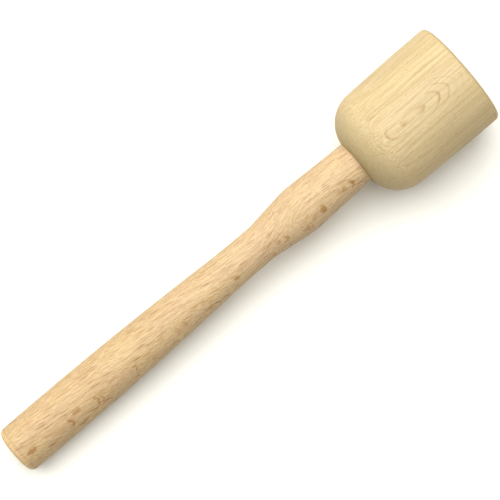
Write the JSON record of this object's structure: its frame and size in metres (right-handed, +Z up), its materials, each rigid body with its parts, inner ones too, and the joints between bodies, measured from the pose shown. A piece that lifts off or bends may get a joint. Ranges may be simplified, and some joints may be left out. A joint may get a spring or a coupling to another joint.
{
  "type": "wooden mallet",
  "caption": "Turned wooden mallet: a round-shouldered cylindrical head set in line with a waisted, swelled handle, for striking tools and stakes end-on.",
  "frame": {"origin": "on the surface that the mallet lies on, under the middle of its bounding box", "axes": "+X from the butt towards the head, level with the surface; +Z up. The mallet's own axis lies in the XZ plane and rises 3.72 degrees towards the head, because it rests on the back rim of the head and on the edge of the butt."},
  "size_m": [0.352, 0.0696, 0.0725],
  "materials": {
    "head_wood": "pale beech, turned and sanded, unvarnished",
    "handle_wood": "steamed beech, turned and sanded, unvarnished",
    "wedge_wood": "darker hardwood, sawn and sanded flush"
  },
  "bodies": {
    "root": {"head": "head_wood", "handle": "handle_wood", "wedge": "wedge_wood"}
  },
  "joints": []
}
